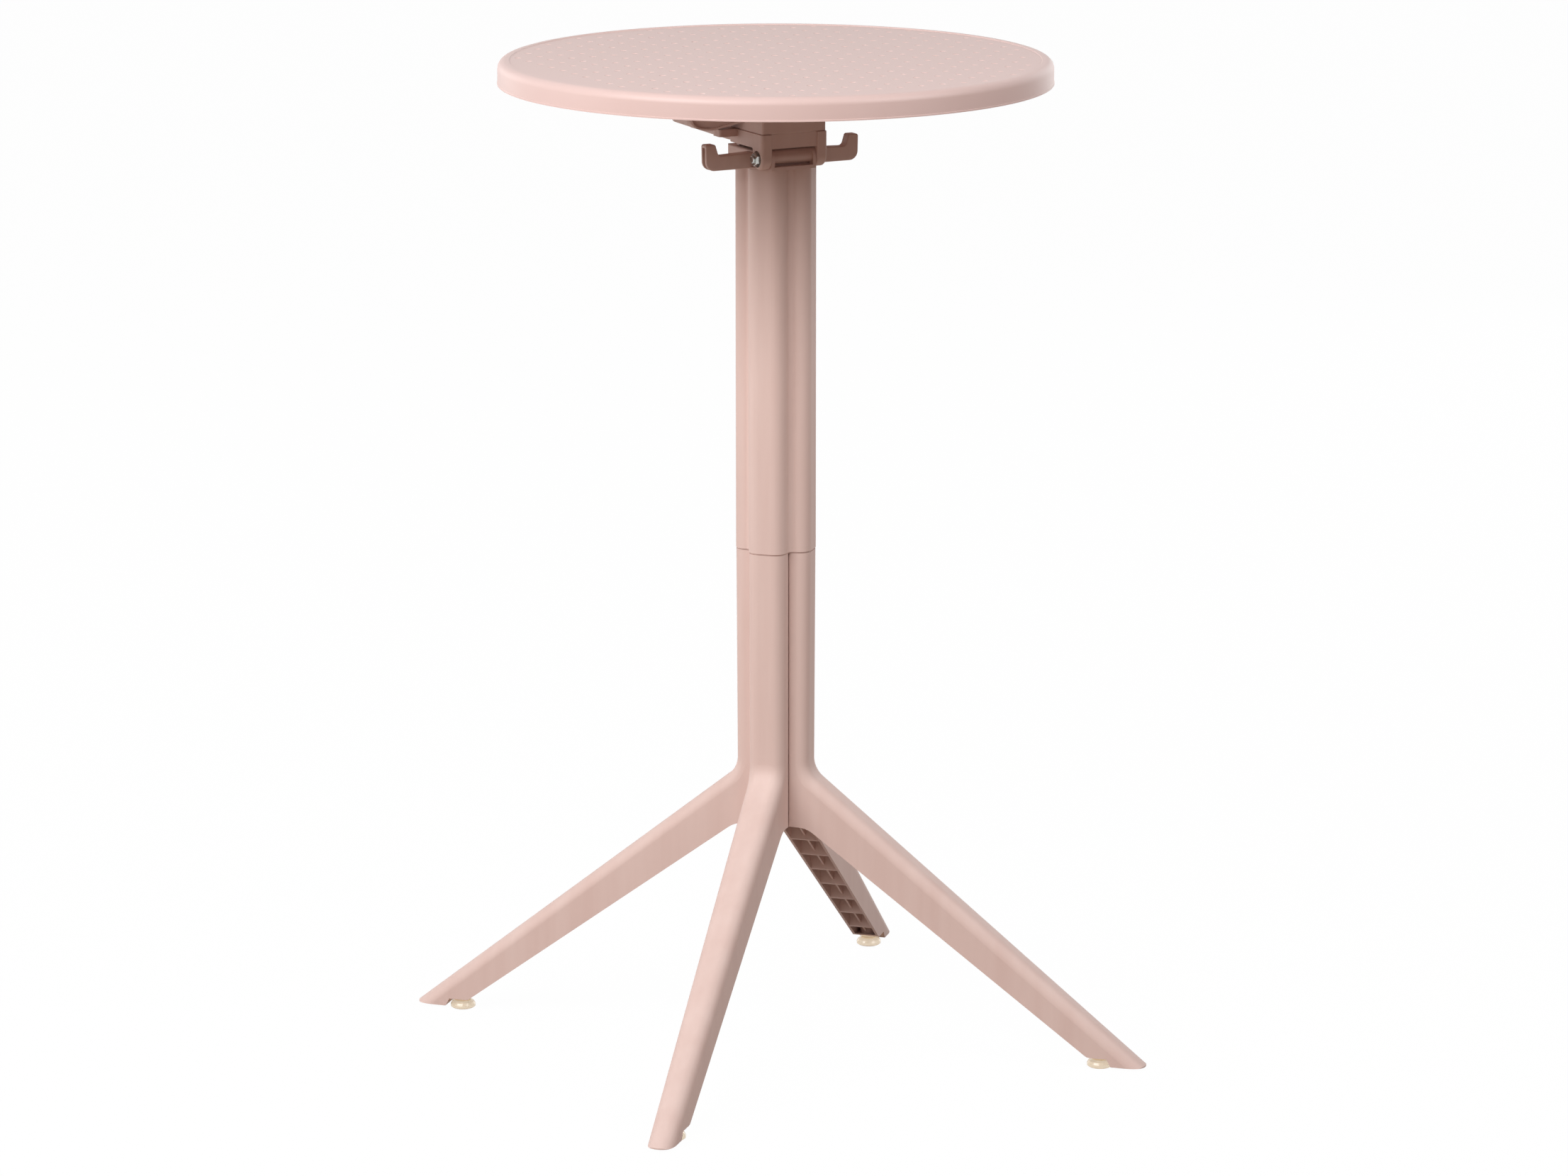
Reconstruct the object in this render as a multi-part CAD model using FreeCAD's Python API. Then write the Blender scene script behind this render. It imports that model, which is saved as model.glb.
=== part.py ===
import FreeCAD, Part
import math
import os

os.makedirs("parts", exist_ok=True)
V = FreeCAD.Vector

# Bar table with a tilting round top on a four-legged clover column, all sizes in mm.
# Z is up, the floor is z = 0, the column stands on the Z axis and the tilt hinge runs along X.

# Overall sizes
table_height = 1100.0
top_diameter = 600.0
toe_reach = 425.0
foot_reach = 373.0

# Clearances shared by the pieces
seat_gap = 0.2
slide_gap = 0.4
pin_gap = 0.06
stem_gap = 1.2

# Table top
rim_depth = 25.3
rim_wall = 4.0
rim_round = 9.0
rim_width = 13.0
field_sink = 1.0
top_skin = 4.5
lip_height = 1.8
lip_proud = 0.5
rib_wall = 2.6
spoke_count = 16

# Clover column
lobe_reach = 42.8
lobe_half = 21.5
lobe_round = 14.0
groove_round = 6.0
tube_wall = 3.5
seam_step = 0.4
seam_height = 560.0
seam_line = 1.6
seam_sink = 1.3
tongue_height = 38.0
tongue_wall = 3.0

# Legs
leg_wall = 3.0
stem_taper = 1.2
knee_height = 310.5
knee_round = 27.0
crest_round = 13.0
toe_half = 14.8
toe_crest = 5.2
toe_sole = 3.8
crotch_height = 249.5
crotch_reach = 41.0
crotch_round = 30.0
seat_height = 12.5
seat_start = 362.0
seat_end = 384.0
leg_rib = 2.3
leg_rib_first = 112.0
leg_rib_pitch = 37.6
leg_rib_count = 7
rib_recess = 4.0
toe_round = 14.2
leg_boss_length = 22.0
leg_screw_depth = 17.0

# Spine inside the column
core_radius = 16.85
core_wall = 2.6
rod_radius = 5.0
plate_thick = 4.0
plate_lift = 3.5

# Levelling feet
pad_radius = 14.2
pad_height = 9.0
stud_radius = 4.0
stud_length = 24.0
insert_radius = 6.0
insert_length = 18.0
boss_radius = 10.0

# Tilt head
hinge_drop = 102.5
hinge_setback = 32.0
hinge_radius = 4.0
yoke_half = 40.0
ear_thick = 12.6
ear_radius = 12.0
ear_round = 4.0
bridge_sink = 2.0
block_inset = 1.2
yoke_rear = 34.0
yoke_lift = 27.0
yoke_skirt = 11.0
yoke_arm = 61.0
yoke_arm_front = 13.5
yoke_arm_thick = 7.9
yoke_plate = 5.0
yoke_wall = 5.0
knuckle_radius = 10.0
sleeve_radius = 7.2
head_half = 36.0
head_rear = 50.0
head_rise = 6.5
head_flange = 2.0
plug_depth = 25.0
lip_drop = 2.5

# Bag hooks
hook_reach = 92.4
hook_thick = 12.0
hook_offset = 10.0
hook_wall = 3.0
hook_tip = 11.0
hook_tip_rise = 16.5
hook_arm_rise = 4.0
hook_arm_drop = 12.0

# Release lever
lever_pivot_back = 79.0
lever_pivot_rise = 20.5
lever_end = 232.0
lever_half = 19.0
lever_end_half = 11.0
lever_wall = 3.0
lever_pin_radius = 2.5
cheek_gap = 16.4
cheek_thick = 5.6

# Levels and positions worked out from the sizes above
hinge_y = -hinge_setback
hinge_z = table_height - hinge_drop
top_radius = top_diameter / 2
rim_low = table_height - rim_depth
mount_top = rim_low + 1.5
yoke_top = hinge_z + yoke_lift
yoke_low = hinge_z + yoke_skirt
head_top = hinge_z + head_rise
column_top = hinge_z - ear_radius - 0.6
head_low = column_top + head_flange
stem_reach = lobe_reach - seam_step
stem_half = lobe_half - seam_step
knee_reach = stem_reach - stem_taper
ear_inner = yoke_half - ear_thick
knuckle_half = ear_inner - slide_gap
core_low = crotch_height + plate_lift + plate_thick


def box(x0, x1, y0, y1, z0, z1):
    return Part.makeBox(x1 - x0, y1 - y0, z1 - z0, V(x0, y0, z0))


def post(radius, z0, z1, x=0.0, y=0.0):
    return Part.makeCylinder(radius, z1 - z0, V(x, y, z0))


def shaft(radius, x0, x1, y, z):
    return Part.makeCylinder(radius, x1 - x0, V(x0, y, z), V(1, 0, 0))


def hexagon(across, depth, base, axis):
    corner = across / math.sqrt(3)
    points = []
    for k in range(7):
        a = math.radians(60 * k + 30)
        if axis.x:
            points.append(base + V(0, corner * math.cos(a), corner * math.sin(a)))
        else:
            points.append(base + V(corner * math.cos(a), corner * math.sin(a), 0))
    return Part.Face(Part.makePolygon(points)).extrude(axis * depth)


# A face from corners (a, b, radius); place turns each (a, b) into a point in space
def outline(corners, place):
    count = len(corners)
    spans = []
    for i in range(count):
        a, b, r = corners[i]
        p = V(a, b, 0)
        before = V(corners[i - 1][0], corners[i - 1][1], 0) - p
        after = V(corners[(i + 1) % count][0], corners[(i + 1) % count][1], 0) - p
        before.normalize()
        after.normalize()
        if r <= 0:
            spans.append((p, None, p))
            continue
        half = before.getAngle(after) / 2
        reach = r / math.tan(half)
        bisector = before + after
        bisector.normalize()
        middle = p + bisector * (r / math.sin(half) - r)
        spans.append((p + before * reach, middle, p + after * reach))
    edges = []
    for i in range(count):
        start, middle, end = spans[i]
        following = spans[(i + 1) % count][0]
        if middle is not None:
            arc = Part.Arc(place(start.x, start.y), place(middle.x, middle.y), place(end.x, end.y))
            edges.append(arc.toShape())
        if (following - end).Length > 1e-6:
            edges.append(Part.makeLine(place(end.x, end.y), place(following.x, following.y)))
    return Part.Face(Part.Wire(edges))


def plan(corners, z0, z1):
    return outline(corners, lambda a, b: V(a, b, z0)).extrude(V(0, 0, z1 - z0))


def side(corners, x0, x1):
    return outline(corners, lambda a, b: V(x0, a, b)).extrude(V(x1 - x0, 0, 0))


def front(corners, y0, y1):
    return outline(corners, lambda a, b: V(a, y0, b)).extrude(V(0, y1 - y0, 0))


def turned(profile):
    wire = Part.makePolygon([V(r, 0, z) for r, z in profile] + [V(profile[0][0], 0, profile[0][1])])
    return Part.Face(wire).revolve(V(0, 0, 0), V(0, 0, 1), 360)


def fuse(first, others):
    return first.multiFuse(others).removeSplitter()


def rounded(shape, radius, wanted):
    edges = [e for e in shape.Edges if wanted(e, e.BoundBox)]
    return shape.makeFillet(radius, edges)


def mirrored(shape):
    return shape.mirror(V(0, 0, 0), V(1, 0, 0))


def turned_by(shape, degrees):
    copy = shape.copy()
    copy.rotate(V(0, 0, 0), V(0, 0, 1), degrees)
    return copy


def save(name, shape):
    shape.exportStep("parts/" + name + ".step")


# Four rounded lobes set on the diagonals, drawn inset from the outside of the column
def clover(inset, z0, z1, groove):
    reach = lobe_reach - inset
    half = lobe_half - inset
    corner = max(lobe_round - inset, 1.0)
    bars = []
    for a, b in ((reach, half), (half, reach)):
        corners = [(-a, -b, corner), (a, -b, corner), (a, b, corner), (-a, b, corner)]
        bars.append(plan(corners, z0, z1))
    cross = bars[0].fuse(bars[1]).removeSplitter()
    if groove > 0:
        def in_groove(edge, bound):
            upright = bound.ZLength > 0.9 * (z1 - z0) and bound.XLength < 0.01
            return upright and abs(abs(bound.XMin) - half) < 0.02 and abs(abs(bound.YMin) - half) < 0.02

        cross = rounded(cross, groove, in_groove)
    return turned_by(cross, 45)


# Table top: a turned dish with rounded rim, bottom lip, ring ribs, spokes and screw bosses below
bead = []
for k in range(9):
    a = math.radians(90.0 * k / 8)
    bead.append((top_radius - lip_proud - rim_round + rim_round * math.sin(a),
                 table_height - rim_round + rim_round * math.cos(a)))
field = top_radius - rim_width
skin_low = table_height - field_sink - top_skin
rim_inner = top_radius - lip_proud - rim_wall
dish = turned([(0, table_height - field_sink), (field - 1.0, table_height - field_sink),
               (field, table_height)] + bead + [
               (top_radius - lip_proud, rim_low + lip_height), (top_radius, rim_low + lip_height - 0.4),
               (top_radius, rim_low), (rim_inner - 0.4, rim_low), (rim_inner, skin_low - 2.0),
               (rim_inner - 2.0, skin_low), (0, skin_low)])
mount_reach = 112.0
mount_deep = 60.0
rings = []
for ratio, low in ((0.10, mount_top), (0.235, mount_top), (0.40, mount_top), (0.60, mount_top + 3),
                   (0.80, mount_top + 5)):
    r = top_radius * ratio
    rings.append(turned([(r - rib_wall / 2, low), (r + rib_wall / 2, low),
                         (r + rib_wall / 2, skin_low + 1), (r - rib_wall / 2, skin_low + 1)]))
spokes = []
for k in range(spoke_count):
    inner = top_radius * 0.10
    spoke = front([(inner, mount_top, 0), (top_radius * 0.40, mount_top, 0),
                   (rim_inner + 1, mount_top + 8, 0), (rim_inner + 1, skin_low + 1, 0),
                   (inner, skin_low + 1, 0)], -rib_wall / 2, rib_wall / 2)
    spokes.append(turned_by(spoke, (k + 0.5) * 360.0 / spoke_count))
mount_spots = []
for x in (-0.86 * mount_reach, -0.48 * mount_reach, 0.48 * mount_reach, 0.86 * mount_reach):
    for y in (-0.72 * mount_deep, 0.72 * mount_deep):
        mount_spots.append((x, y))
screw_radius = 2.5
bosses = [post(6.0, mount_top, skin_low + 1, x, y) for x, y in mount_spots]
top = fuse(dish, rings + spokes + bosses)
for x, y in mount_spots:
    top = top.cut(post(screw_radius, mount_top - 1, skin_low + 0.5, x, y))
save("table_top", top)

# Top mount: flange under the top, hollow block above the yoke and a keeper wing over each bag hook
flange_low = mount_top - 5.0
flange = plan([(-mount_reach, -mount_deep, 18), (mount_reach, -mount_deep, 18),
               (mount_reach, mount_deep, 18), (-mount_reach, mount_deep, 18)], flange_low, mount_top)
block_front = hinge_y - ear_radius
block_low = yoke_top + seat_gap
block_half = yoke_half - block_inset
block = plan([(-block_half, block_front + block_inset, 3), (block_half, block_front + block_inset, 3),
              (block_half, yoke_rear, 4), (-block_half, yoke_rear, 4)], block_low, flange_low + 1)
block = rounded(block, 0.8, lambda edge, bound: bound.ZMax < block_low + 0.1)
hollow = plan([(-yoke_half + 5, block_front + 5, 2), (yoke_half - 5, block_front + 5, 2),
               (yoke_half - 5, yoke_rear - 4, 2), (-yoke_half + 5, yoke_rear - 4, 2)],
              block_low + 5, mount_top - 1)
wing_start = V(yoke_half - 2.0, -2.8, 0)
wing_end = V(86.0, 34.5, 0)
wing_rear = 46.0
wing_wall = 3.0
wing_dish = 2.4
wing_rim = 2.0


# Outline of a keeper wing seen from the front, drawn inset from its outside
def wing_outline(inset, top):
    low = block_low - 1.2 + inset
    outer = wing_end.x - inset
    return [(wing_start.x + inset, low + 11.1, 0), (yoke_arm + 5.0, low, 14), (outer, low, 11.5 - inset),
            (outer, top, 0), (wing_start.x + inset, top, 0)]


# Plan of a keeper wing, its slanting face moved back by a depth
def wing_plan(depth, rear, z0, z1):
    along = (wing_end - wing_start).normalize()
    back = V(-along.y, along.x, 0) * depth
    near = wing_start + back - along * 20
    far = wing_end + back
    return plan([(near.x, near.y, 0), (far.x, far.y, 9 if depth == 0 else 0), (far.x, rear, 5 if depth == 0 else 0),
                 (near.x, rear, 0)], z0, z1)


wing_low = block_low - 3.0
wing = wing_plan(0, wing_rear, wing_low, flange_low + 1)
wing = wing.common(front(wing_outline(0, flange_low + 1), -60, 60))
wing_face = wing_plan(-20, wing_rear + 40, wing_low, mount_top).cut(wing_plan(wing_dish, wing_rear + 41, wing_low - 1, mount_top + 1))
wing_dished = front(wing_outline(wing_rim, flange_low - 4.0), -60, 60).common(wing_face)
wing_hollow = front(wing_outline(wing_wall, flange_low), -60, 60)
wing_hollow = wing_hollow.common(wing_plan(wing_dish + wing_wall, wing_rear + 1, wing_low, mount_top))
wing_hollow = wing_hollow.cut(box(-60, yoke_half + 2, -60, 60, wing_low, mount_top))
wing_rib = box(62.0, 64.6, 26.0, wing_rear - 2, block_low + 3, mount_top - 1.5)
wing = wing.cut(wing_dished).cut(wing_hollow)
solid_mount = fuse(flange.fuse(block), [wing, mirrored(wing)])
solid_mount = solid_mount.cut(hollow)
stiff = [wing_rib, mirrored(wing_rib)]
yoke_spots = [(x, y) for x in (-0.52 * yoke_half, 0.52 * yoke_half) for y in (-10.0, 22.0)]
stiff += [post(7.0, block_low + 4, mount_top - 1.5, x, y) for x, y in yoke_spots]
stiff.append(box(-yoke_half + 3, yoke_half - 3, 4.7, 7.3, block_low + 4, mount_top - 1.5))
mount = fuse(solid_mount, stiff)
yoke_screw_radius = 3.0
yoke_screw_length = 26.0
for x, y in yoke_spots:
    mount = mount.cut(post(yoke_screw_radius, block_low - 1, yoke_top + yoke_screw_length, x, y))
for x, y in mount_spots:
    mount = mount.cut(post(screw_radius + 0.3, flange_low - 1, mount_top + 1, x, y))
save("top_mount", mount)

mount_screws = []
for x, y in mount_spots:
    head = post(5.0, flange_low - 3.0, flange_low, x, y)
    head = rounded(head, 1.2, lambda edge, bound: bound.ZMax < flange_low - 2.9)
    mount_screws.append(head.fuse(post(screw_radius, flange_low - 0.5, skin_low, x, y)))
save("mount_screws", Part.makeCompound(mount_screws))

# Tilt yoke: an open-bottomed box with two hinge ears in front and two lever cheeks behind
yoke = plan([(-yoke_half, block_front, ear_round), (yoke_half, block_front, ear_round), (yoke_half, yoke_rear, 6),
             (-yoke_half, yoke_rear, 6)], yoke_low, yoke_top)
yoke = rounded(yoke, 0.8, lambda edge, bound: bound.ZLength < 0.01)
recess_half = ear_inner + 4.0
bridge_front = block_front + bridge_sink
yoke = yoke.cut(box(-recess_half, recess_half, block_front - 1, bridge_front, yoke_low - 1, yoke_top + 1))
room = plan([(-yoke_half + yoke_wall, bridge_front + yoke_wall, 3), (yoke_half - yoke_wall, bridge_front + yoke_wall, 3),
             (yoke_half - yoke_wall, yoke_rear - yoke_wall, 3), (-yoke_half + yoke_wall, yoke_rear - yoke_wall, 3)],
            yoke_low - 1, yoke_top - yoke_plate)
yoke = yoke.cut(room)
arms = plan([(-yoke_arm, yoke_arm_front, 3), (yoke_arm, yoke_arm_front, 3), (yoke_arm, yoke_rear - 1, 6),
             (-yoke_arm, yoke_rear - 1, 6)], yoke_top - yoke_arm_thick, yoke_top)
arms = arms.cut(room)
ear_back = hinge_y + ear_radius
ear_top = yoke_top - 0.4
ear = side([(block_front, ear_top, 0), (block_front, hinge_z, 0), (ear_back, hinge_z, 0),
            (ear_back, yoke_low, 4), (ear_back + 14, yoke_low, 0), (ear_back + 14, ear_top, 0)],
           ear_inner, yoke_half)
ear = fuse(ear, [shaft(ear_radius, ear_inner, yoke_half, hinge_y, hinge_z)])
ear = rounded(ear, ear_round, lambda edge, bound: bound.XMin > yoke_half - 0.01 and bound.YMax < ear_back + 1
              and bound.YLength + bound.ZLength > 0.5 and bound.ZMin < yoke_top - 2)
ear = rounded(ear, 1.6, lambda edge, bound: bound.XMax < ear_inner + 0.01 and bound.YMax < ear_back + 1
              and bound.ZMin < yoke_top - 2)
ears = [ear, mirrored(ear)]
pivot_y = hinge_y + lever_pivot_back
pivot_z = hinge_z + lever_pivot_rise
cheek = side([(yoke_rear - yoke_wall + 1, yoke_low + 2.5, 0), (pivot_y + 2, yoke_low + 2.5, 4),
              (pivot_y + 8, pivot_z - 3, 4), (pivot_y + 8, yoke_top, 3), (yoke_rear - yoke_wall + 1, yoke_top, 0)],
             cheek_gap, cheek_gap + cheek_thick)
rib_band = box(-yoke_half + 2, yoke_half - 2, 4.5, 7.5, yoke_low + 2.5, yoke_top - 1)
yoke = fuse(yoke, ears + [arms, cheek, mirrored(cheek), rib_band])
yoke = yoke.cut(shaft(hinge_radius + 0.05, -yoke_half - 1, yoke_half + 1, hinge_y, hinge_z))
yoke = yoke.cut(shaft(lever_pin_radius, -40, 40, pivot_y, pivot_z))
head_recess = 6.5
nut_recess = 4.0
yoke = yoke.cut(shaft(9.0, yoke_half - head_recess, yoke_half + 1, hinge_y, hinge_z))
yoke = yoke.cut(shaft(9.0, -yoke_half - 1, -yoke_half + nut_recess, hinge_y, hinge_z))
for x, y in yoke_spots:
    yoke = yoke.cut(post(yoke_screw_radius + 0.3, yoke_low, yoke_top + 1, x, y))
save("tilt_yoke", yoke)

yoke_screws = []
for x, y in yoke_spots:
    head = post(6.0, yoke_top - yoke_plate - 4.0, yoke_top - yoke_plate, x, y)
    head = rounded(head, 1.5, lambda edge, bound: bound.ZMax < yoke_top - yoke_plate - 3.9)
    shank = post(yoke_screw_radius, yoke_top - yoke_plate - 0.5, yoke_top + yoke_screw_length - 1, x, y)
    yoke_screws.append(head.fuse(shank))
save("yoke_screws", Part.makeCompound(yoke_screws))

# Hinge bolt across ears and knuckle: head sunk in the right ear, nut half sunk in the left
washer_thick = 1.6
thread_end = 2.2
nut_depth = 6.5
head_face = yoke_half - head_recess + washer_thick
nut_face = -yoke_half + nut_recess - washer_thick
bolt = hexagon(13.0, 5.3, V(head_face, hinge_y, hinge_z), V(1, 0, 0))
crown = Part.makeCone(9.5, 6.2, 3.4, V(head_face + 2.2, hinge_y, hinge_z), V(1, 0, 0))
bolt = bolt.common(crown.fuse(shaft(9.5, head_face, head_face + 2.3, hinge_y, hinge_z)))
bolt = bolt.fuse(shaft(hinge_radius, nut_face - nut_depth - thread_end, head_face + 0.5, hinge_y, hinge_z))
bolt = bolt.removeSplitter()
bolt = rounded(bolt, 0.8, lambda edge, bound: bound.XMax < nut_face - nut_depth - thread_end + 0.1)
save("hinge_bolt", bolt)
nut = hexagon(13.0, -nut_depth, V(nut_face, hinge_y, hinge_z), V(1, 0, 0))
dome = Part.makeCone(6.3, 9.5, 3.2, V(nut_face - nut_depth, hinge_y, hinge_z), V(1, 0, 0))
nut = nut.common(dome.fuse(shaft(9.5, nut_face - nut_depth + 3.1, nut_face, hinge_y, hinge_z)))
save("hinge_nut", nut.cut(shaft(hinge_radius, -80, 0, hinge_y, hinge_z)))
washers = []
for x in (nut_face, yoke_half - head_recess):
    ring = shaft(8.0, x, x + washer_thick, hinge_y, hinge_z)
    washers.append(ring.cut(shaft(hinge_radius + 0.2, x - 1, x + 3, hinge_y, hinge_z)))
save("hinge_washers", Part.makeCompound(washers))

# Column head: clover flange and plug, hinge knuckle in front, bag hooks at the sides, latch lip behind
head = clover(0, column_top + seat_gap, head_low, groove_round)
plug = clover(tube_wall + slide_gap, column_top - plug_depth, head_low - 0.5, groove_round + tube_wall)
body_front = hinge_y + ear_radius + 1.0
body = plan([(-head_half, body_front, 2), (head_half, body_front, 2), (head_half, head_rear, 10),
             (-head_half, head_rear, 10)], head_low - 0.5, head_top)
shoulders = front([(-head_half, head_low - 0.5, 0), (head_half, head_low - 0.5, 0), (head_half, head_top, 2.5),
                   (-head_half, head_top, 2.5)], body_front, head_rear)
lip_z = hinge_z + lip_drop
back_trim = side([(body_front - 1, head_low - 2, 0), (head_rear, head_low - 2, 0),
                  (head_rear, head_top, head_top - lip_z + 0.5), (body_front - 1, head_top, 0)],
                 -head_half, head_half)
body = body.common(shoulders).common(back_trim)
knuckle_top = hinge_z + knuckle_radius
knuckle_low = column_top + seat_gap
knuckle = side([(hinge_y - knuckle_radius, knuckle_low, 0), (body_front + 1, knuckle_low, 0),
                (body_front + 1, head_top - 0.1, 0), (hinge_y + 8.0, knuckle_top, 6),
                (hinge_y - knuckle_radius, knuckle_top, knuckle_radius - 0.01)], -knuckle_half, knuckle_half)
arm_low = hinge_z - hook_arm_drop
arm_top = hinge_z + hook_arm_rise
tip_top = hinge_z + hook_tip_rise
hook = front([(head_half - 2, arm_low, 0), (hook_reach, arm_low, 10), (hook_reach + 0.5, tip_top, 2.5),
              (hook_reach - hook_tip, tip_top, 2.5), (hook_reach - hook_tip - 4, arm_top - 0.4, 5),
              (head_half + 6, arm_top + 1.0, 5), (head_half - 2, head_top - 1, 0)],
             -hook_offset - hook_thick / 2, -hook_offset + hook_thick / 2)
hook = rounded(hook, 1.2, lambda edge, bound: bound.YLength < 0.01 and bound.XMin > head_half - 1)
hook_room = front([(head_half + 3, arm_low - 1, 0), (hook_reach + 2, arm_low - 1, 0),
                   (hook_reach + 2, tip_top - 3.5, 0), (hook_reach - hook_tip + 3, tip_top - 3.5, 2),
                   (hook_reach - hook_tip - 3, arm_top - 3, 4), (head_half + 3, arm_top - 3, 2)],
                  -hook_offset - hook_thick / 2 + hook_wall, -hook_offset + hook_thick / 2 - hook_wall)
hook = hook.cut(hook_room)
pad_rear = yoke_rear - 0.5
pads = [box(x - 6, x + 6, yoke_rear - yoke_wall - 1, pad_rear, head_top - 1, yoke_low - seat_gap) for x in (-24, 24)]
column_head = fuse(head, [plug, body, knuckle, hook, mirrored(hook)] + pads)
window = box(-23.3, 23.3, hinge_y - knuckle_radius - 1, hinge_y - 1.0, hinge_z - 9.0, hinge_z + 5.2)
window = window.cut(shaft(sleeve_radius, -30, 30, hinge_y, hinge_z))
column_head = column_head.cut(window)
column_head = column_head.cut(shaft(hinge_radius + pin_gap, -60, 60, hinge_y, hinge_z))
catch_half = 13.0
catch = box(-catch_half, catch_half, head_rear - 5, head_rear + 5, head_low - 5, lip_z)
column_head = column_head.cut(catch)
nut_room = hinge_z - 5.5
column_head = column_head.cut(post(13.0, nut_room, head_top + 1))
column_head = column_head.cut(post(rod_radius + 0.3, column_top - plug_depth - 1, head_top))
column_head = column_head.cut(post(core_radius + 0.2, column_top - plug_depth - 1, column_top - 6))
ear_path = shaft(ear_radius + 0.4, knuckle_half, yoke_half + 4, hinge_y, hinge_z)
column_head = column_head.cut(ear_path).cut(mirrored(ear_path))
save("column_head", column_head)

# Upper column: a clover tube standing on the leg stems
tube = clover(0, seam_height + seam_line, column_top, groove_round)
tube = tube.fuse(clover(seam_sink, seam_height + seat_gap, seam_height + seam_line + 1, groove_round + seam_sink))
bore = clover(tube_wall, seam_height - 1, column_top + 1, groove_round + tube_wall)
save("column_tube", tube.cut(bore))

# Spine: stiffening tube, tie rod and its end fittings
core_top = column_top - 6.0 - seat_gap
core = post(core_radius, core_low, core_top).cut(post(core_radius - core_wall, core_low - 1, core_top + 1))
save("core_tube", core)
rod_low = crotch_height + plate_lift - 13.0
rod = post(rod_radius, rod_low, nut_room + 12.0)
rod = rounded(rod, 1.0, lambda edge, bound: bound.ZLength < 0.01)
save("tie_rod", rod)
plate_low = crotch_height + plate_lift
rod_nuts = []
for z in (plate_low - 2.0 - 8.0, nut_room + 2.0):
    nut = hexagon(17.0, 8.0, V(0, 0, z), V(0, 0, 1))
    rod_nuts.append(nut.cut(post(rod_radius, z - 1, z + 9)))
save("tie_rod_nuts", Part.makeCompound(rod_nuts))
rod_washers = []
for z in (plate_low - 2.0, nut_room):
    rod_washers.append(post(11.0, z, z + 2.0).cut(post(rod_radius + 0.3, z - 1, z + 3)))
save("tie_rod_washers", Part.makeCompound(rod_washers))
plate = clover(seam_step + stem_taper + leg_wall + slide_gap, plate_low, plate_low + plate_thick, 0)
plate = plate.cut(post(rod_radius + 0.3, plate_low - 1, core_low + 1))

# One leg moulding, drawn along +X: stem, knee, sloped beam, toe, ladder ribs and foot boss
slope = (knee_height - toe_crest) / (toe_reach - knee_reach)
far_reach = toe_reach + 45.0


def crest(r):
    return knee_height - slope * (r - knee_reach)


def stem_front(z):
    return stem_reach - stem_taper * (seam_height - z) / (seam_height - knee_height)


def half_width(r):
    return stem_half - (stem_half - toe_half) * r / toe_reach


def leg_plan(inset, start, end, tip, z0, z1):
    gap = stem_gap / math.sqrt(2)
    shoulder = (stem_half + gap) / (1 + (stem_half - toe_half) / toe_reach)
    if start is None:
        corners = [(gap, 0, 0), (shoulder, -half_width(shoulder), 0)]
        mirror_end = [(shoulder, half_width(shoulder), 0)]
    else:
        corners = [(start, -half_width(start) + inset, 0)]
        mirror_end = [(start, half_width(start) - inset, 0)]
    corners += [(end, -half_width(end) + inset, tip), (end, half_width(end) - inset, tip)]
    return plan(corners + mirror_end, z0, z1)


def leg_side(corners):
    return outline(corners, lambda a, b: V(a, -40, b)).extrude(V(0, 80, 0))


drop = leg_wall * math.sqrt(1 + slope * slope)
beam = leg_side([(0, seam_height, 0), (stem_reach, seam_height, 0), (knee_reach, knee_height, knee_round),
                 (far_reach, crest(far_reach), 0), (far_reach, toe_sole - 90, 0),
                 (seat_end + 5, toe_sole - 90, 0), (seat_end + 5, toe_sole, 0), (seat_end, seat_height, 0),
                 (seat_start, seat_height, 8), (crotch_reach, crotch_height, crotch_round),
                 (0, crotch_height, 0)])
beam = beam.common(leg_plan(0, None, far_reach, 0, -200, seam_height + 1))


def on_crest(edge, bound):
    p = edge.valueAt((edge.FirstParameter + edge.LastParameter) / 2)
    if abs(abs(p.y) - half_width(p.x)) > 0.05 or p.x < knee_reach - 0.1:
        return False
    if bound.ZMin > seam_height - 0.1 or p.x > far_reach - 0.1:
        return False
    on_slope = abs(p.z - crest(p.x)) < 0.05
    on_front = abs(p.x - stem_front(p.z)) < 0.05
    on_knee = p.z < knee_height + knee_round and p.z > knee_height - knee_round and p.x < knee_reach + knee_round
    return on_slope or on_front or on_knee


beam_side = rounded(beam, crest_round, lambda edge, bound: bound.YMax < 0 and on_crest(edge, bound))
beam_side = beam_side.common(box(-1, far_reach + 1, -40, 0, -200, seam_height + 1))
beam = fuse(beam_side, [beam_side.mirror(V(0, 0, 0), V(0, 1, 0))])
tongue_plan = leg_plan(0, None, toe_reach, toe_round, toe_sole, seam_height + 1)
shell_outer = beam.common(tongue_plan)
inner_reach = knee_reach - leg_wall


def inner_crest(r):
    return crest(r) - drop


knee_inner = knee_height - drop + slope * leg_wall
void = leg_side([(-30, seam_height + 5, 0), (stem_front(seam_height + 5) - leg_wall, seam_height + 5, 0),
                 (inner_reach, knee_inner, knee_round + leg_wall), (far_reach, inner_crest(far_reach), 0),
                 (far_reach, -120, 0), (-30, -120, 0)])
void = void.common(leg_plan(leg_wall, -30, far_reach, 0, -200, seam_height + 10))


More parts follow.
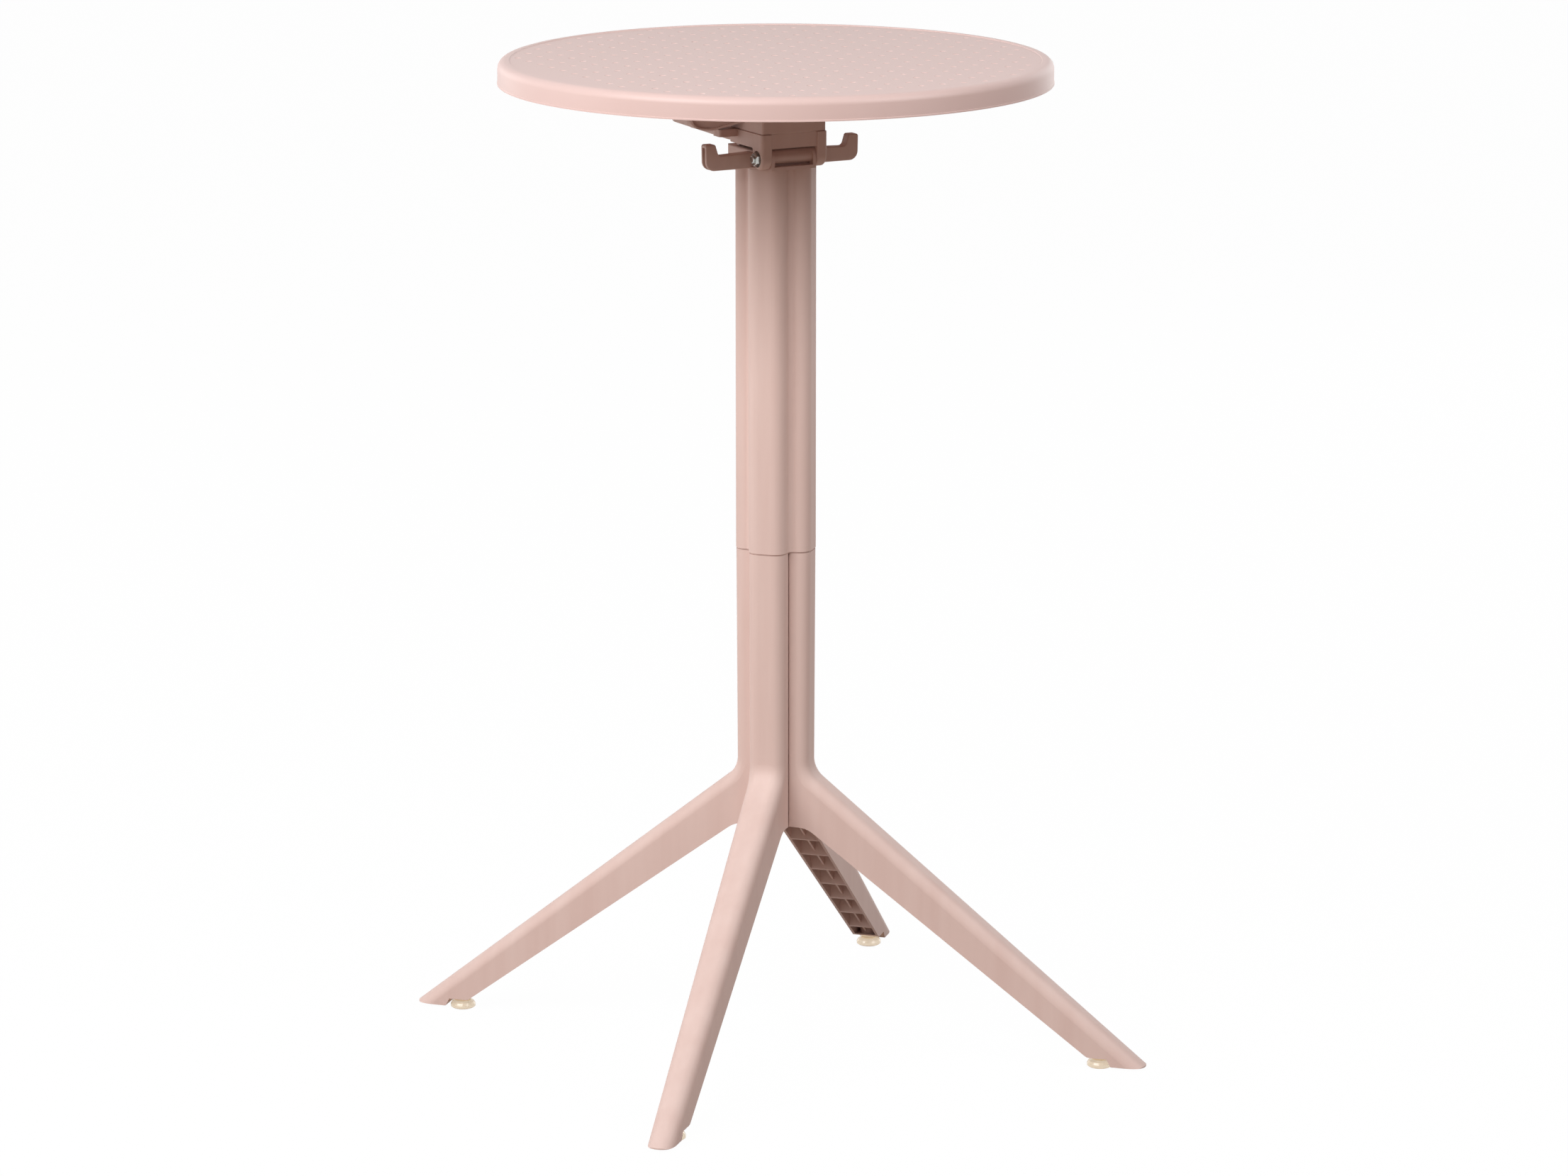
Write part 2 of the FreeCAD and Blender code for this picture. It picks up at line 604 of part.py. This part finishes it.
def on_inner_crest(edge, bound):
    p = edge.valueAt((edge.FirstParameter + edge.LastParameter) / 2)
    if abs(abs(p.y) - half_width(p.x) + leg_wall) > 0.05 or p.x < inner_reach - 0.1:
        return False
    if bound.ZMin > seam_height + 4 or p.x > far_reach - 0.1:
        return False
    on_slope = abs(p.z - inner_crest(p.x)) < 0.05
    on_front = abs(p.x - stem_front(p.z) + leg_wall) < 0.1
    on_knee = abs(p.z - knee_inner) < knee_round + leg_wall and p.x < inner_reach + knee_round + leg_wall
    return on_slope or on_front or on_knee


void = rounded(void, crest_round - leg_wall, on_inner_crest)
toe_inset = 11.0
void = void.common(leg_plan(leg_wall, -30, toe_reach - toe_inset, toe_round - leg_wall, -200, seam_height + 10))
shell = shell_outer.cut(void)
ribs = []
for k in range(leg_rib_count):
    r = leg_rib_first + k * leg_rib_pitch * (foot_reach / 373.0)
    ribs.append(box(r - leg_rib / 2, r + leg_rib / 2, -30, 30, 0, seam_height))
ribs.append(box(seat_end + 1.5, seat_end + 5, -30, 30, 0, seam_height))
under_slope = (crotch_height - seat_height) / (seat_start - crotch_reach)
rib_lift = rib_recess * math.sqrt(1 + under_slope * under_slope)


def rib_edge(r):
    return crotch_height + rib_lift - under_slope * (r - crotch_reach)


rib_start = 80.0
rib_end = seat_start - 2
centre_rib = leg_side([(rib_start, rib_edge(rib_start), 0), (rib_end, rib_edge(rib_end), 0),
                       (rib_end, seam_height, 0), (rib_start, seam_height, 0)])
ribs.append(centre_rib.common(box(rib_start, rib_end, -leg_rib / 2, leg_rib / 2, 0, seam_height)))
ribs.append(box(rib_start - 2, rib_start + 0.5, -30, 30, 0, seam_height))
ribs.append(box(seat_start - 6, seat_end + 5, -30, 30, seat_height, seat_height + 3))
ribs.append(post(boss_radius, seat_height, seam_height, foot_reach, 0))
webs = []
web_low = core_low + seat_gap
for k in range(5):
    z = web_low + k * (seam_height - 4.0 - web_low) / 4
    webs.append(box(0, stem_reach + 4, -30, 30, z, z + 4.0))
hold = post(core_radius + seat_gap, 0, table_height)
inside = [piece.common(shell_outer) for piece in ribs]
inside += [web.common(shell_outer).cut(hold) for web in webs]
tongue = clover(tube_wall + slide_gap, seam_height - 3.0, seam_height + tongue_height, groove_round + tube_wall)
tongue = tongue.cut(clover(tube_wall + slide_gap + tongue_wall, seam_height - 4, seam_height + tongue_height + 1,
                           groove_round + tube_wall + tongue_wall))
tongue = turned_by(tongue, -45).common(leg_plan(0, None, toe_reach, 0, 0, table_height))
leg_screw_spots = [(stem_reach - 14.0, u) for u in (-9.0, 9.0)]
inside += [post(4.6, web_low, web_low + leg_boss_length, x, y).cut(hold).common(shell_outer) for x, y in leg_screw_spots]
leg = fuse(shell, inside + [tongue])
for x, y in leg_screw_spots:
    leg = leg.cut(post(screw_radius, web_low - 1, web_low + leg_screw_depth + 2.0, x, y))
insert_top = seat_height + insert_length
leg = leg.cut(post(insert_radius, seat_height - 1, insert_top, foot_reach, 0))
leg = leg.cut(post(stud_radius + 0.6, seat_height, pad_height + stud_length + 2.0, foot_reach, 0))
legs = (("leg_front_left", 225), ("leg_front_right", 315), ("leg_back_right", 45), ("leg_back_left", 135))
for name, angle in legs:
    save(name, turned_by(leg, angle))

# Base plate under the stems and the screws that hold it
leg_screws = []
for name, angle in legs:
    for x, y in leg_screw_spots:
        plate = plate.cut(turned_by(post(screw_radius + 0.3, plate_low - 1, core_low + 1, x, y), angle))
        head = post(4.6, plate_low - 3.0, plate_low, x, y)
        screw = head.fuse(post(screw_radius, plate_low - 0.5, web_low + leg_screw_depth, x, y))
        leg_screws.append(turned_by(screw, angle))
save("base_plate", plate)
save("leg_screws", Part.makeCompound(leg_screws))

# Threaded inserts and levelling feet
inserts = []
insert = post(insert_radius, seat_height, insert_top, foot_reach, 0)
insert = insert.cut(post(stud_radius + pin_gap, seat_height - 1, insert_top + 1, foot_reach, 0))
for name, angle in legs:
    inserts.append(turned_by(insert, angle))
save("foot_inserts", Part.makeCompound(inserts))
neck = seat_height - 0.5
pad = [(0, 0), (pad_radius - 1.5, 0), (pad_radius, 1.2), (pad_radius, 4.0), (pad_radius - 1.6, 6.6),
       (pad_radius - 5.0, pad_height - 0.6), (pad_radius - 5.6, neck), (stud_radius, neck),
       (stud_radius, pad_height + stud_length - 1), (stud_radius - 1, pad_height + stud_length),
       (0, pad_height + stud_length)]
foot = turned(pad)
foot.translate(V(foot_reach, 0, 0))
for name, angle in legs:
    save(name.replace("leg", "foot"), turned_by(foot, angle))

# Release lever: hub on its pin, latch nose behind the head and a boat-shaped handle
lever_low = hinge_z + 4.8
boat_start = pivot_y + 18.0
boat_top = lever_low + 20.0
boat = plan([(-lever_half + 3, boat_start, 10), (lever_half - 3, boat_start, 10), (lever_half, boat_start + 18, 20),
             (lever_end_half, lever_end, 9), (-lever_end_half, lever_end, 9), (-lever_half, boat_start + 18, 20)],
            lever_low, boat_top)
boat = rounded(boat, 4.5, lambda edge, bound: bound.ZMax < lever_low + 0.1)
boat_room = plan([(-lever_half + 6, boat_start + 3, 7), (lever_half - 6, boat_start + 3, 7),
                  (lever_half - lever_wall, boat_start + 18, 18), (lever_end_half - lever_wall, lever_end - 3, 6),
                  (-lever_end_half + lever_wall, lever_end - 3, 6), (-lever_half + lever_wall, boat_start + 18, 18)],
                 lever_low + lever_wall, boat_top + 1)
boat_room = rounded(boat_room, 4.0, lambda edge, bound: bound.ZMax < lever_low + lever_wall + 0.1)
boat = boat.cut(boat_room)
hub_half = cheek_gap - slide_gap
spring_room = 9.0
hub = shaft(6.0, -hub_half, hub_half - spring_room, pivot_y, pivot_z)
nose_y = hinge_y + math.hypot(head_rear - hinge_y, lip_drop) + 0.3
nose = side([(pivot_y - 1, pivot_z, 0), (nose_y + 1.6, lip_z + 4, 0), (nose_y + 1.6, lip_z - 1.2, 0),
             (nose_y, lip_z - 1.6, 0), (nose_y, lip_z - 4.0, 0), (nose_y + 1.2, lip_z - 6.0, 0),
             (nose_y + 6.4, lip_z - 6.0, 2), (nose_y + 6.4, pivot_z, 0)], -11.0, hub_half - spring_room - 2)
neck_bar = side([(pivot_y, pivot_z - 3.5, 0), (nose_y + 5, lever_low + 4.0, 4), (boat_start + 2, lever_low + 0.8, 0),
                 (boat_start + 2, boat_top - 3, 0), (pivot_y, pivot_z + 5.0, 0)], -11.0, hub_half - spring_room - 2)
wire = 0.6
coil = 4.0
rest_top = pivot_z + coil - wire - 0.1
spring_rest = box(1.0, hub_half - 2.0, pivot_y + 8.5, pivot_y + 17.0, rest_top - 8.0, rest_top)
lever = fuse(hub, [nose, neck_bar, boat, spring_rest])
lever = lever.cut(shaft(lever_pin_radius + pin_gap, -60, 60, pivot_y, pivot_z))
save("release_lever", lever)
cheek_out = cheek_gap + cheek_thick
save("lever_pin", shaft(lever_pin_radius, -cheek_out, cheek_out, pivot_y, pivot_z))

# Return spring wound round the lever pin
turns = 3
pitch = 1.6
coil_start = hub_half - spring_room + 1.6
helix = Part.makeHelix(pitch, pitch * turns, coil)
ring = Part.Wire(Part.Circle(V(coil, 0, 0), V(0, 1, 0), wire).toShape())
spring = helix.makePipeShell([ring], True, True)
spring = Part.Solid(Part.Shell(spring.Faces)) if spring.ShapeType != "Solid" else spring
arm_one = Part.makeCylinder(wire, 15.0, V(coil, 0, 0), V(0, -1, 0))
arm_two = Part.makeCylinder(wire, pivot_y - yoke_rear - seat_gap, V(coil, 0, pitch * turns), V(0, 1, 0))
spring = spring.fuse(arm_one).fuse(arm_two)
spring.rotate(V(0, 0, 0), V(0, 1, 0), 90)
spring.rotate(V(0, 0, 0), V(1, 0, 0), 180)
spring.translate(V(coil_start, pivot_y, pivot_z))
save("lever_spring", spring)
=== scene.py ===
import math
import bpy
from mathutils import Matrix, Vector


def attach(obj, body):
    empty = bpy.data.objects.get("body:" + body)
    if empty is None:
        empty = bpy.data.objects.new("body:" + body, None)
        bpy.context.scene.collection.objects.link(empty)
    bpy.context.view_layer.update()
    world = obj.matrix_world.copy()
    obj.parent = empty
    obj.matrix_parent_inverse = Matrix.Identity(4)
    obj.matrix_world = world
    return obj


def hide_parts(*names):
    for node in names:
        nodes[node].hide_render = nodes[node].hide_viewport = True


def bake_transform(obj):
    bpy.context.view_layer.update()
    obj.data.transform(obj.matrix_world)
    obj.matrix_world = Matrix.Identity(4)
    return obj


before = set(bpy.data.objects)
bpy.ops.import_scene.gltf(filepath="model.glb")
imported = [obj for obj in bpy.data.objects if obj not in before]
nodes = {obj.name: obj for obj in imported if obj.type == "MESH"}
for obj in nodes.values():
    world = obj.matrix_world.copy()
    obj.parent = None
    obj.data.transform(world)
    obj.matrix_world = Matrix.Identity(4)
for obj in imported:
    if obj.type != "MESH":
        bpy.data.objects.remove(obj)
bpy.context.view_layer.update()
mm = 0.001
perMetre = 1000  # a pattern's scale is this over its size in millimetres
mixFactor, mixFirst, mixSecond, mixResult = 0, 6, 7, 2  # sockets of a Mix node that is set to colour
white = (1, 1, 1, 1)
print("frame loaded:", len(nodes), "nodes")


def linearColour(code):
    channels = [int(code[i:i + 2], 16) / 255 for i in (0, 2, 4)]
    return [c / 12.92 if c <= 0.04045 else ((c + 0.055) / 1.055) ** 2.4 for c in channels] + [1.0]


def addNode(tree, kind, settings=None, inputs=None):
    node = tree.nodes.new(kind)
    for name, value in (settings or {}).items():
        setattr(node, name, value)
    for name, value in (inputs or {}).items():
        if isinstance(value, bpy.types.NodeSocket):
            tree.links.new(value, node.inputs[name])
        else:
            node.inputs[name].default_value = value
    return node


def newMaterial(name):
    material = bpy.data.materials.new(name)
    material.use_nodes = True
    tree = material.node_tree
    tree.nodes.clear()
    shader = addNode(tree, "ShaderNodeBsdfPrincipled")
    addNode(tree, "ShaderNodeOutputMaterial", inputs={"Surface": shader.outputs["BSDF"]})
    return material, tree, shader


def dress(material, *pieces):
    for piece in pieces:
        piece.data.materials.clear()
        piece.data.materials.append(material)


# Camera, fitted to the rim, the feet and the column
view = {"place": (-2.8064, -5.2960, 1.9116), "look": (0.4573, 0.8599, -0.2270),
        "lens": 128.47, "sensor": 36.0, "farMetres": 60.0}
cameraData = bpy.data.cameras.new("camera")
cameraData.lens = view["lens"]
cameraData.sensor_width = view["sensor"]
cameraData.clip_end = view["farMetres"]
camera = bpy.data.objects.new("camera", cameraData)
bpy.context.scene.collection.objects.link(camera)
camera.location = view["place"]
camera.rotation_euler = Vector(view["look"]).to_track_quat("-Z", "Y").to_euler()
bpy.context.scene.camera = camera
print("camera set")

# Moulded polypropylene, dusty pink: a satin skin of sparked grain with faint clouds of colour and gloss,
# drawn out into flow streaks on the column and legs. The real grain is too fine to show, so it is coarser.
skin = {"grainMm": 1.1, "grainDetail": 2.0, "grainHeightMm": 0.02, "grainStrength": 0.35,
        "mottleDetail": 3.0, "mottleRough": 0.55}
columnLook = {"colour": "E1C9C1", "deep": "D2B4AB", "rough": (0.54, 0.63), "ior": 1.47,
              "mottleMm": 26, "stretch": (1.0, 1.0, 0.09)}
topLook = {"colour": "DBC0BB", "deep": "D7BAB3", "rough": (0.38, 0.47), "ior": 1.43,
           "mottleMm": 90, "stretch": (1.0, 1.0, 1.0)}


def mouldedPlastic(name, look):
    material, tree, shader = newMaterial(name)
    place = addNode(tree, "ShaderNodeTexCoord").outputs["Object"]
    flow = addNode(tree, "ShaderNodeMapping", inputs={"Vector": place, "Scale": look["stretch"]})
    mottle = addNode(tree, "ShaderNodeTexNoise", inputs={
        "Vector": flow.outputs["Vector"], "Scale": perMetre / look["mottleMm"],
        "Detail": skin["mottleDetail"], "Roughness": skin["mottleRough"]})
    tint = addNode(tree, "ShaderNodeMix", {"data_type": "RGBA"}, {
        mixFactor: mottle.outputs["Fac"],
        mixFirst: linearColour(look["deep"]), mixSecond: linearColour(look["colour"])})
    tree.links.new(tint.outputs[mixResult], shader.inputs["Base Color"])
    gloss = addNode(tree, "ShaderNodeMapRange", inputs={
        "Value": mottle.outputs["Fac"], "To Min": look["rough"][0], "To Max": look["rough"][1]})
    tree.links.new(gloss.outputs["Result"], shader.inputs["Roughness"])
    grain = addNode(tree, "ShaderNodeTexNoise", inputs={
        "Vector": place, "Scale": perMetre / skin["grainMm"], "Detail": skin["grainDetail"]})
    bump = addNode(tree, "ShaderNodeBump", inputs={
        "Height": grain.outputs["Fac"], "Strength": skin["grainStrength"],
        "Distance": skin["grainHeightMm"] * mm})
    tree.links.new(bump.outputs["Normal"], shader.inputs["Normal"])
    shader.inputs["IOR"].default_value = look["ior"]
    return material


columnPlastic = mouldedPlastic("polypropyleneSatin", columnLook)
for name in ("top_mount", "tilt_yoke", "column_head", "column_tube", "release_lever",
             "leg_front_left", "leg_front_right", "leg_back_left", "leg_back_right"):
    dress(columnPlastic, nodes[name])

# Press for the dimples: one ball cap, repeated in rows across the field and cleared outside it
dimples = {"pitchMm": (25.4, 27.9), "shiftMm": (12.7, -1.0), "rows": 21, "acrossMm": 7.6, "depthMm": 1.25,
           "fieldMm": 279, "levelMm": 1099.0, "ballSides": 14, "ballRings": 34, "aboveMm": 0.6}
pitch = dimples["pitchMm"]
ball = ((dimples["acrossMm"] / 2) ** 2 + dimples["depthMm"] ** 2) / (2 * dimples["depthMm"])
first = [dimples["shiftMm"][i] - dimples["rows"] // 2 * pitch[i] for i in (0, 1)]
bpy.ops.object.select_all(action="DESELECT")
bpy.ops.mesh.primitive_uv_sphere_add(
    segments=dimples["ballSides"], ring_count=dimples["ballRings"], radius=ball * mm,
    location=(first[0] * mm, first[1] * mm, (dimples["levelMm"] + ball - dimples["depthMm"]) * mm))
bpy.ops.object.transform_apply()
press = bpy.context.object
press.name = "dimplePress"
bpy.ops.object.mode_set(mode="EDIT")
bpy.ops.mesh.select_all(action="SELECT")
bpy.ops.mesh.bisect(
    plane_co=(0, 0, (dimples["levelMm"] + dimples["aboveMm"]) * mm), plane_no=(0, 0, 1),
    use_fill=True, clear_outer=True)
bpy.ops.object.mode_set(mode="OBJECT")
for axis in (0, 1):
    rows = press.modifiers.new("rows", "ARRAY")
    rows.count = dimples["rows"]
    rows.use_relative_offset = False
    rows.use_constant_offset = True
    rows.constant_offset_displace = [pitch[i] * mm if i == axis else 0.0 for i in range(3)]
    bpy.ops.object.modifier_apply(modifier=rows.name)
bpy.ops.object.mode_set(mode="EDIT")
bpy.ops.mesh.select_all(action="DESELECT")
bpy.ops.object.mode_set(mode="OBJECT")
for corner in press.data.vertices:  # each corner goes with the middle of its own cap
    steps = [round((corner.co[i] / mm - first[i]) / pitch[i]) for i in (0, 1)]
    centre = [first[i] + steps[i] * pitch[i] for i in (0, 1)]
    corner.select = math.hypot(*centre) > dimples["fieldMm"]
bpy.ops.object.mode_set(mode="EDIT")
bpy.ops.mesh.delete(type="VERT")
bpy.ops.object.mode_set(mode="OBJECT")

# Table top: a copy of its solid, merged, pressed, and kept crisp round each dimple
topMesh = {"mergeMm": 0.001, "smoothDegrees": 28, "levelWithinMm": 0.01, "dimpleEdgeMm": 3}
dimpledTop = bpy.data.objects.new("dimpledTop", nodes["table_top"].data.copy())
bpy.context.scene.collection.objects.link(dimpledTop)
bpy.ops.object.select_all(action="DESELECT")
dimpledTop.select_set(True)
bpy.context.view_layer.objects.active = dimpledTop
bpy.ops.object.mode_set(mode="EDIT")
bpy.ops.mesh.select_all(action="SELECT")
bpy.ops.mesh.remove_doubles(threshold=topMesh["mergeMm"] * mm)
bpy.ops.mesh.customdata_custom_splitnormals_clear()
bpy.ops.object.mode_set(mode="OBJECT")
cut = dimpledTop.modifiers.new("dimples", "BOOLEAN")
cut.operation = "DIFFERENCE"
cut.solver = "EXACT"
cut.object = press
bpy.ops.object.modifier_apply(modifier=cut.name)
bpy.data.objects.remove(press)
bpy.ops.object.shade_smooth_by_angle(angle=math.radians(topMesh["smoothDegrees"]))
bpy.ops.object.mode_set(mode="EDIT")
bpy.ops.mesh.select_mode(type="EDGE")
bpy.ops.mesh.select_all(action="DESELECT")
bpy.ops.object.mode_set(mode="OBJECT")
corners = dimpledTop.data.vertices
for edge in dimpledTop.data.edges:
    ends = [corners[i].co for i in edge.vertices]
    offLevel = max(abs(end.z - dimples["levelMm"] * mm) for end in ends)
    length = (ends[0] - ends[1]).length
    edge.select = offLevel < topMesh["levelWithinMm"] * mm and length < topMesh["dimpleEdgeMm"] * mm
bpy.ops.object.mode_set(mode="EDIT")
bpy.ops.mesh.mark_sharp()
bpy.ops.object.mode_set(mode="OBJECT")
dress(mouldedPlastic("polypropyleneTop", topLook), dimpledTop)
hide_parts("table_top")
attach(dimpledTop, "tilting_top")
print("table top dimpled:", len(dimpledTop.data.polygons), "faces")
print("plastics done")

# Zinc-plated steel: bright, slightly cloudy metal
zincLook = {"colour": "CFCFCB", "shade": "A9A9A6", "rough": (0.20, 0.36), "cloudMm": 3.0, "cloudDetail": 3.0}
zinc, tree, shader = newMaterial("zincPlatedSteel")
place = addNode(tree, "ShaderNodeTexCoord").outputs["Object"]
cloud = addNode(tree, "ShaderNodeTexNoise", inputs={
    "Vector": place, "Scale": perMetre / zincLook["cloudMm"], "Detail": zincLook["cloudDetail"]})
tint = addNode(tree, "ShaderNodeMix", {"data_type": "RGBA"}, {
    mixFactor: cloud.outputs["Fac"],
    mixFirst: linearColour(zincLook["shade"]), mixSecond: linearColour(zincLook["colour"])})
tree.links.new(tint.outputs[mixResult], shader.inputs["Base Color"])
gloss = addNode(tree, "ShaderNodeMapRange", inputs={
    "Value": cloud.outputs["Fac"], "To Min": zincLook["rough"][0], "To Max": zincLook["rough"][1]})
tree.links.new(gloss.outputs["Result"], shader.inputs["Roughness"])
shader.inputs["Metallic"].default_value = 1.0
for name in ("hinge_bolt", "hinge_nut", "hinge_washers", "mount_screws", "yoke_screws", "tie_rod",
             "tie_rod_nuts", "tie_rod_washers", "leg_screws", "base_plate", "core_tube", "lever_pin",
             "lever_spring"):
    dress(zinc, nodes[name])

# Return spring: a copy of its mesh, with its placement baked in, stands in for the hidden original. On the
# real table its arm on the handle's side turns with the lever and its other arm stays on the yoke.
leverSpring = bpy.data.objects.new("leverSpring", nodes["lever_spring"].data.copy())
bpy.context.scene.collection.objects.link(leverSpring)
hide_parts("lever_spring")
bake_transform(leverSpring)

# Turned brass of the foot inserts: fine tool rings in the gloss
brassLook = {"colour": "C9A45C", "rough": (0.24, 0.40), "ringMm": 0.8, "waver": 0.4}
waveRadians = 20  # a Wave node of scale 1 runs through this angle in each metre
brass, tree, shader = newMaterial("turnedBrass")
place = addNode(tree, "ShaderNodeTexCoord").outputs["Object"]
shader.inputs["Base Color"].default_value = linearColour(brassLook["colour"])
shader.inputs["Metallic"].default_value = 1.0
rings = addNode(tree, "ShaderNodeTexWave", {"bands_direction": "Z"}, {
    "Vector": place, "Scale": math.tau * perMetre / (waveRadians * brassLook["ringMm"]),
    "Distortion": brassLook["waver"]})
gloss = addNode(tree, "ShaderNodeMapRange", inputs={
    "Value": rings.outputs["Fac"], "To Min": brassLook["rough"][0], "To Max": brassLook["rough"][1]})
tree.links.new(gloss.outputs["Result"], shader.inputs["Roughness"])
dress(brass, nodes["foot_inserts"])

# Clear amber thermoplastic of the levelling feet: smooth, with faint cloudiness
amberLook = {"colour": "DDBF98", "rough": (0.04, 0.24), "ior": 1.5, "clear": 0.85,
             "cloudMm": 6.0, "cloudDetail": 2.0}
amber, tree, shader = newMaterial("amberThermoplastic")
place = addNode(tree, "ShaderNodeTexCoord").outputs["Object"]
shader.inputs["Base Color"].default_value = linearColour(amberLook["colour"])
shader.inputs["Transmission Weight"].default_value = amberLook["clear"]
shader.inputs["IOR"].default_value = amberLook["ior"]
cloud = addNode(tree, "ShaderNodeTexNoise", inputs={
    "Vector": place, "Scale": perMetre / amberLook["cloudMm"], "Detail": amberLook["cloudDetail"]})
gloss = addNode(tree, "ShaderNodeMapRange", inputs={
    "Value": cloud.outputs["Fac"], "To Min": amberLook["rough"][0], "To Max": amberLook["rough"][1]})
tree.links.new(gloss.outputs["Result"], shader.inputs["Roughness"])
for name in ("foot_front_left", "foot_front_right", "foot_back_left", "foot_back_right"):
    dress(amber, nodes[name])
print("metals and feet done")

# Studio: paper floor and surround that look white, and five soft lamps aimed at the table's middle
studio = {"floorMetres": 40.0, "floorRough": 0.9, "paperGlow": 0.985, "bounce": "9A8273", "surround": 0.02,
          "aim": (0, 0, 0.75)}
lamps = {"keyLamp": {"place": (-3.452, -1.325, 3.486), "size": (4.0, 2.7), "watts": 230.0},
         "fillLamp": {"place": (1.929, -3.21, 3.421), "size": (2.6, 2.4), "watts": 94.0},
         "lowLamp": {"place": (-4.193, 1.78, 1.39), "size": (2.4, 2.4), "watts": 36.0},
         "sideLamp": {"place": (3.935, 2.272, 1.47), "size": (2.4, 2.4), "watts": 34.0},
         "rearLamp": {"place": (-1.252, 4.367, 1.47), "size": (2.4, 2.4), "watts": 24.0}}


# 1 for what is seen directly, mirrored or through the clear feet, 0 for light that falls on the table
def seenByEye(tree):
    path = addNode(tree, "ShaderNodeLightPath")
    mirrored = addNode(tree, "ShaderNodeMath", {"operation": "MAXIMUM"}, {
        0: path.outputs["Is Camera Ray"], 1: path.outputs["Is Glossy Ray"]})
    through = addNode(tree, "ShaderNodeMath", {"operation": "MAXIMUM"}, {
        0: mirrored.outputs[0], 1: path.outputs["Is Transmission Ray"]})
    return through.outputs[0]


bpy.ops.object.select_all(action="DESELECT")
bpy.ops.mesh.primitive_plane_add(size=studio["floorMetres"], location=(0, 0, 0))
floor = bpy.context.object
floor.name = "studioFloor"
floorPaper, tree, shader = newMaterial("floorPaper")
shader.inputs["Roughness"].default_value = studio["floorRough"]
seen = seenByEye(tree)
paper = addNode(tree, "ShaderNodeMix", {"data_type": "RGBA"}, {
    mixFactor: seen, mixFirst: linearColour(studio["bounce"]), mixSecond: white})
tree.links.new(paper.outputs[mixResult], shader.inputs["Base Color"])
share = addNode(tree, "ShaderNodeMath", {"operation": "MULTIPLY"}, {0: seen, 1: studio["paperGlow"]})
glow = addNode(tree, "ShaderNodeEmission", inputs={"Color": white, "Strength": 1.0})
surface = addNode(tree, "ShaderNodeMixShader", inputs={
    0: share.outputs[0], 1: shader.outputs["BSDF"], 2: glow.outputs["Emission"]})
tree.links.new(surface.outputs["Shader"], tree.get_output_node("ALL").inputs["Surface"])
floor.data.materials.append(floorPaper)

world = bpy.data.worlds.new("studioWorld")
bpy.context.scene.world = world
world.use_nodes = True
tree = world.node_tree
tree.nodes.clear()
strength = addNode(tree, "ShaderNodeMapRange", inputs={
    "Value": seenByEye(tree), "To Min": studio["surround"], "To Max": 1.0})
sky = addNode(tree, "ShaderNodeBackground", inputs={
    "Color": white, "Strength": strength.outputs["Result"]})
addNode(tree, "ShaderNodeOutputWorld", inputs={"Surface": sky.outputs["Background"]})

for name, look in lamps.items():
    lampData = bpy.data.lights.new(name, "AREA")
    lampData.shape = "RECTANGLE"
    lampData.size, lampData.size_y = look["size"]
    lampData.energy = look["watts"]
    lamp = bpy.data.objects.new(name, lampData)
    bpy.context.scene.collection.objects.link(lamp)
    lamp.location = look["place"]
    aim = Vector(studio["aim"]) - Vector(look["place"])
    lamp.rotation_euler = aim.to_track_quat("-Z", "Y").to_euler()
bpy.context.scene.view_settings.view_transform = "Standard"
print("studio done")
